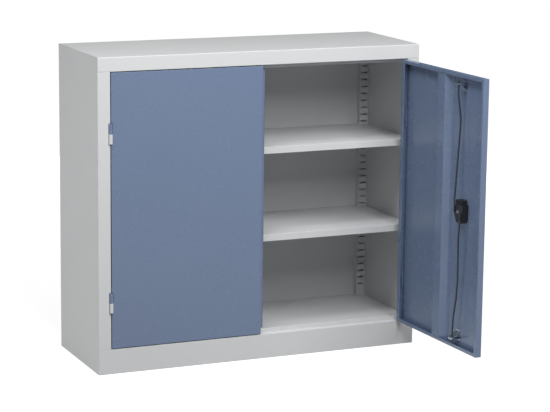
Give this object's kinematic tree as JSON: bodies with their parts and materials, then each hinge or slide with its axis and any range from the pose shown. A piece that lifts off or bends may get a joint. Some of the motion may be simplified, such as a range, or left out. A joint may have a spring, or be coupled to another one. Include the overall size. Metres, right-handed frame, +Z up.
{
  "type": "tool cabinet with doors",
  "caption": "Low steel tool cabinet with hinged folded-sheet doors, hook-in shelves and a turning handle that drives lock rods behind the top rail and sill.",
  "frame": {"origin": "middle of the base, on the floor", "axes": "+X to the right seen from the front, +Y to the back, +Z up; the doors are on the -Y side"},
  "size_m": [1.2119, 0.9745, 1.09],
  "materials": {
    "body_paint": "light grey powder coat, fine texture",
    "door_paint": "pigeon blue powder coat, semi-gloss",
    "bright_steel": "zinc-plated steel",
    "black_steel": "black zinc-plated or painted steel",
    "black_plastic": "moulded black plastic"
  },
  "bodies": {
    "carcass": {"left_side_panel": "body_paint", "right_side_panel": "body_paint", "top_panel": "body_paint", "top_stop_strip": "body_paint", "back_panel": "body_paint", "plinth_panel": "body_paint", "floor_panel": "body_paint", "floor_support": "body_paint", "left_front_post": "body_paint", "right_front_post": "body_paint", "left_rear_post": "body_paint", "right_rear_post": "body_paint", "left_upper_hinge_base": "body_paint", "left_lower_hinge_base": "body_paint", "right_upper_hinge_base": "body_paint", "right_lower_hinge_base": "body_paint", "upper_shelf_clips": "bright_steel", "lower_shelf_clips": "bright_steel"},
    "left_door": {"left_door_panel": "door_paint", "left_door_stiffener": "door_paint", "closing_strip": "door_paint", "left_upper_hinge_leaf": "door_paint", "left_lower_hinge_leaf": "door_paint"},
    "right_door": {"right_door_panel": "door_paint", "right_door_stiffener": "door_paint", "right_upper_hinge_leaf": "door_paint", "right_lower_hinge_leaf": "door_paint", "lock_housing": "black_plastic", "lock_screws": "black_steel", "top_rod_guide": "bright_steel", "bottom_rod_guide": "bright_steel", "handle_escutcheon": "black_plastic"},
    "handle": {"door_handle": "black_plastic", "lock_spindle": "bright_steel", "lock_disc": "black_steel", "spindle_screw": "bright_steel"},
    "plug": {"lock_plug": "bright_steel"},
    "upper_lock_rod": {"upper_rod": "black_steel"},
    "lower_lock_rod": {"lower_rod": "black_steel"},
    "upper_shelf_body": {"upper_shelf": "body_paint"},
    "lower_shelf_body": {"lower_shelf": "body_paint"}
  },
  "joints": [
    {"name": "left_door_hinge", "type": "hinge", "parent": "carcass", "child": "left_door", "pos_m": [-0.5545, -0.211, 0.5665], "axis": [0, 0, -1], "range_deg": [0, 170]},
    {"name": "right_door_hinge", "type": "hinge", "parent": "carcass", "child": "right_door", "pos_m": [0.5545, -0.211, 0.5665], "axis": [0, 0, 1], "range_deg": [-92, 78]},
    {"name": "handle_turn", "type": "hinge", "parent": "right_door", "child": "handle", "pos_m": [0.56821, -0.63228, 0.569], "axis": [0.9994, 0.0349, 0], "range_deg": [0, 90]},
    {"name": "plug_turn", "type": "hinge", "parent": "handle", "child": "plug", "pos_m": [0.60319, -0.63106, 0.569], "axis": [0.9994, 0.0349, 0], "range_deg": [0, 90]},
    {"name": "upper_rod_pivot", "type": "hinge", "parent": "handle", "child": "upper_lock_rod", "pos_m": [0.53668, -0.61337, 0.569], "axis": [0.9994, 0.0349, 0], "range_deg": [-92.8, 0]},
    {"name": "lower_rod_pivot", "type": "hinge", "parent": "handle", "child": "lower_lock_rod", "pos_m": [0.53808, -0.65334, 0.569], "axis": [0.9994, 0.0349, 0], "range_deg": [-92.6, 0]},
    {"name": "upper_shelf_lift", "type": "slide", "parent": "carcass", "child": "upper_shelf_body", "axis": [0, 0, 1], "range_m": [0, 0.05]},
    {"name": "lower_shelf_lift", "type": "slide", "parent": "carcass", "child": "lower_shelf_body", "axis": [0, 0, 1], "range_m": [0, 0.05]}
  ],
  "couplings": [
    {"joint": "upper_rod_pivot", "follows": "handle_turn", "ratio": -1.0302},
    {"joint": "lower_rod_pivot", "follows": "handle_turn", "ratio": -1.027}
  ]
}
